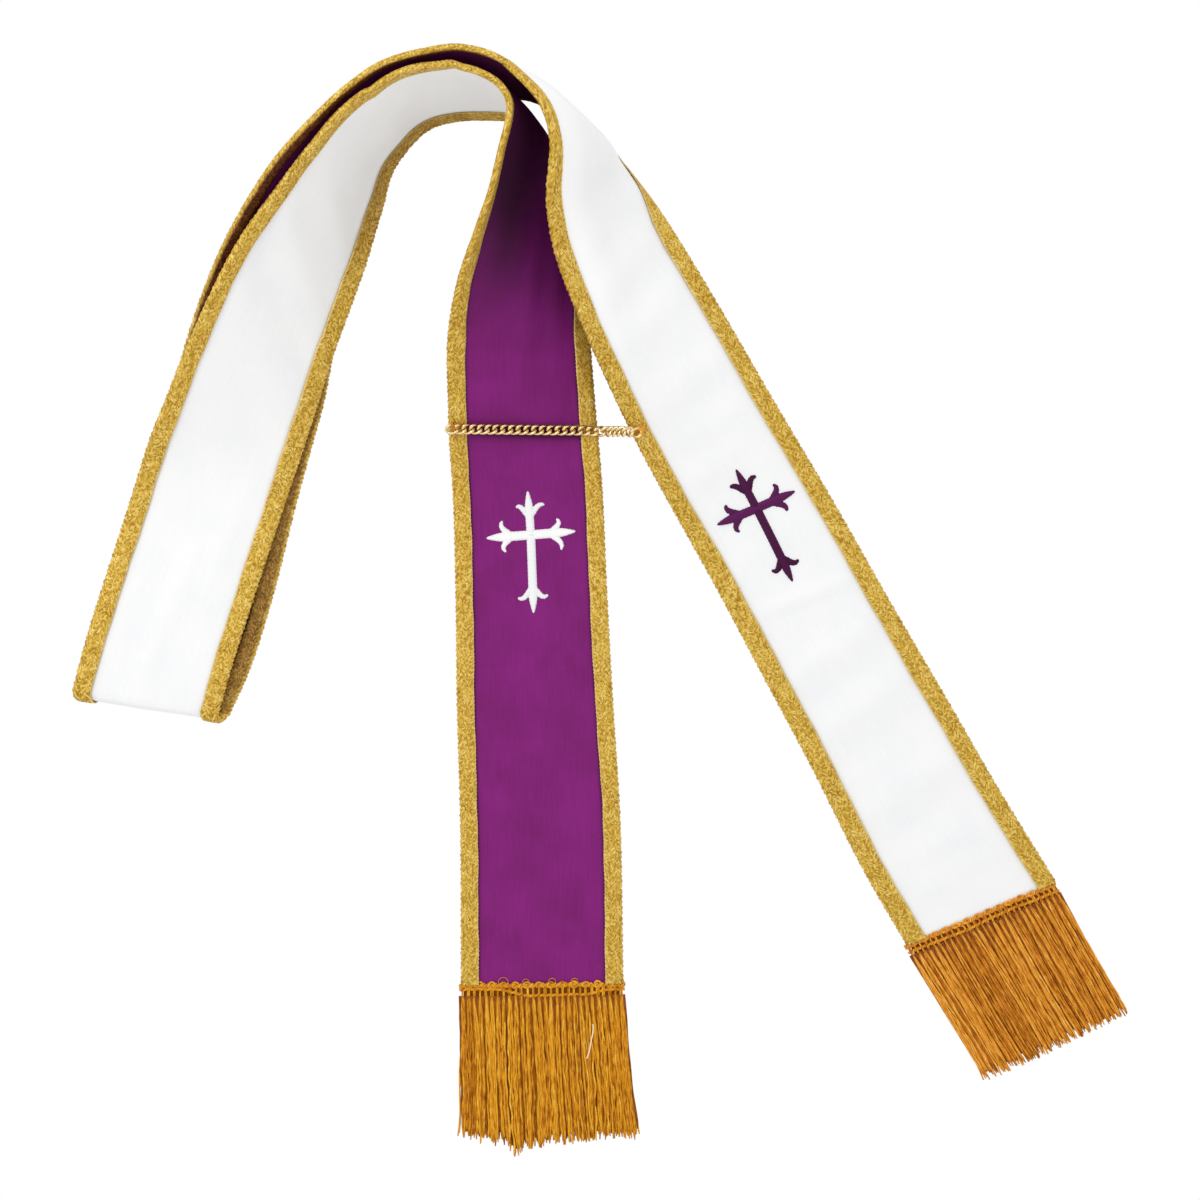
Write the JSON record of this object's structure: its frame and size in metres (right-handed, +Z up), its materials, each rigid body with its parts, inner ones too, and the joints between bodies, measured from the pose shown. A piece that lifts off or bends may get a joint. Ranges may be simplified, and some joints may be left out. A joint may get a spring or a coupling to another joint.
{
  "type": "reversible clerical stole",
  "caption": "Long band-like vestment laid out folded at the neck, one side purple and one white, with gold edging, a cross and a fringe at each end, and a short chain.",
  "frame": {"origin": "centre of the footprint, on the table", "axes": "+X across the panels towards the white panel, +Y from the fringes to the arch of the neck, +Z up from the table"},
  "size_m": [0.7064, 0.7196, 0.0997],
  "materials": {
    "purple_cloth": "smooth purple cloth",
    "white_cloth": "smooth white cloth",
    "gold_tape": "woven metallic tape",
    "gold_fringe": "rayon thread",
    "white_thread": "satin stitch",
    "purple_thread": "satin stitch",
    "gold_chain": "polished gilt wire"
  },
  "bodies": {
    "root": {"chain_link_01": "gold_chain", "chain_link_02": "gold_chain", "chain_link_03": "gold_chain", "chain_link_04": "gold_chain", "chain_link_05": "gold_chain", "chain_link_06": "gold_chain", "chain_link_07": "gold_chain", "chain_link_08": "gold_chain", "chain_link_09": "gold_chain", "chain_link_10": "gold_chain", "chain_link_11": "gold_chain", "chain_link_12": "gold_chain", "chain_link_13": "gold_chain", "chain_link_14": "gold_chain", "chain_link_15": "gold_chain", "chain_link_16": "gold_chain", "chain_link_17": "gold_chain", "chain_link_18": "gold_chain", "chain_link_19": "gold_chain", "chain_link_20": "gold_chain", "chain_link_21": "gold_chain", "chain_link_22": "gold_chain", "chain_link_23": "gold_chain", "chain_link_24": "gold_chain", "chain_link_25": "gold_chain", "chain_link_26": "gold_chain", "lower_limb_left_binding": "gold_tape", "lower_limb_purple_cloth": "purple_cloth", "lower_limb_right_binding": "gold_tape", "lower_limb_white_cloth": "white_cloth", "purple_cross": "purple_thread", "purple_panel_fringe": "gold_fringe", "purple_panel_left_binding": "gold_tape", "purple_panel_purple_cloth": "purple_cloth", "purple_panel_right_binding": "gold_tape", "purple_panel_white_cloth": "white_cloth", "upper_limb_left_binding": "gold_tape", "upper_limb_purple_cloth": "purple_cloth", "upper_limb_right_binding": "gold_tape", "upper_limb_white_cloth": "white_cloth", "white_cross": "white_thread", "white_panel_fringe": "gold_fringe", "white_panel_left_binding": "gold_tape", "white_panel_purple_cloth": "purple_cloth", "white_panel_right_binding": "gold_tape", "white_panel_white_cloth": "white_cloth"}
  },
  "joints": []
}
